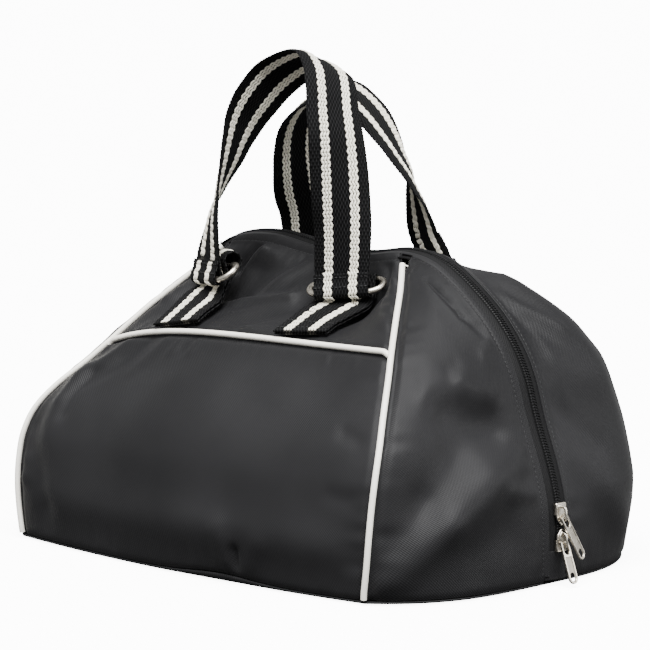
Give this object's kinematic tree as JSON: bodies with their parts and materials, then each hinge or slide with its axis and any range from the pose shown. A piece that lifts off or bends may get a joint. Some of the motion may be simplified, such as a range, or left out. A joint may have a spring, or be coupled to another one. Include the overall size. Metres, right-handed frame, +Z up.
{
  "type": "helmet bag",
  "caption": "Soft zipped holdall for a helmet: black nylon panels with cream piping, a zip over the top and webbing carrying handles on metal rings.",
  "frame": {"origin": "on the underside of the flat base, midway between the ends, below the zip", "axes": "+X along the bag towards the end with the zip sliders, -Y out of the front, +Z up"},
  "size_m": [0.4419, 0.2911, 0.3479],
  "materials": {
    "nylon": "satin twill",
    "piping": "satin",
    "webbing": "matt ribbed, with cream stripes",
    "zip": "matt",
    "nickel": "polished nickel"
  },
  "bodies": {
    "bag": {"front_panel": "nylon", "front_yoke": "nylon", "zip_tape_front": "zip", "piping_yoke_front": "piping", "handle_front": "webbing", "side_panel_right_front": "nylon", "piping_right_front": "piping", "ring_right_front": "nickel", "tab_right_front": "webbing", "side_panel_left_front": "nylon", "piping_left_front": "piping", "ring_left_front": "nickel", "tab_left_front": "webbing", "back_panel": "nylon", "back_yoke": "nylon", "zip_tape_back": "zip", "piping_yoke_back": "piping", "handle_back": "webbing", "side_panel_right_back": "nylon", "piping_right_back": "piping", "ring_right_back": "nickel", "tab_right_back": "webbing", "side_panel_left_back": "nylon", "piping_left_back": "piping", "ring_left_back": "nickel", "tab_left_back": "webbing", "base_panel": "nylon", "zip_chain": "zip", "zip_end_right": "nylon", "zip_end_left": "nylon", "slider_upper": "nickel", "slider_lower": "nickel"},
    "pull_upper": {"pull_upper": "nickel"},
    "pull_lower": {"pull_lower": "nickel"}
  },
  "joints": [
    {"name": "pull_upper_hinge", "type": "hinge", "parent": "bag", "child": "pull_upper", "pos_m": [0.21694, 0, 0.04591], "axis": [0.0325, -0.8829, -0.4683], "range_deg": [-3, 110]},
    {"name": "pull_lower_hinge", "type": "hinge", "parent": "bag", "child": "pull_lower", "pos_m": [0.21754, 0, 0.02852], "axis": [0, -1, 0], "range_deg": [-16, 88]}
  ]
}
